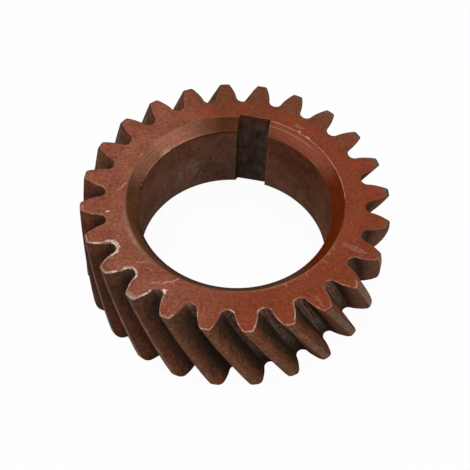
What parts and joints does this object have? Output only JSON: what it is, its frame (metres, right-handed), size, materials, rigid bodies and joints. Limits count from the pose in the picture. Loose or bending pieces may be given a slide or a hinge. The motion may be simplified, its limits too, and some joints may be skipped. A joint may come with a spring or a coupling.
{
  "type": "crankshaft timing gear",
  "caption": "Helical steel ring gear with a large keyed bore, pressed on an engine crankshaft's nose to drive the camshaft and pump gears.",
  "frame": {"origin": "centre of the bore at the back face, on which the gear lies", "axes": "+Z along the bore towards the front face; +Y through the middle of the keyway"},
  "size_m": [0.0904, 0.0904, 0.031],
  "materials": {
    "red_oxide_steel": "thin red-brown protective coat on machined steel, satin, with bare metal on worn tooth edges and darker bore, keyway and flanks"
  },
  "bodies": {
    "root": {"timing_gear": "red_oxide_steel"}
  },
  "joints": []
}
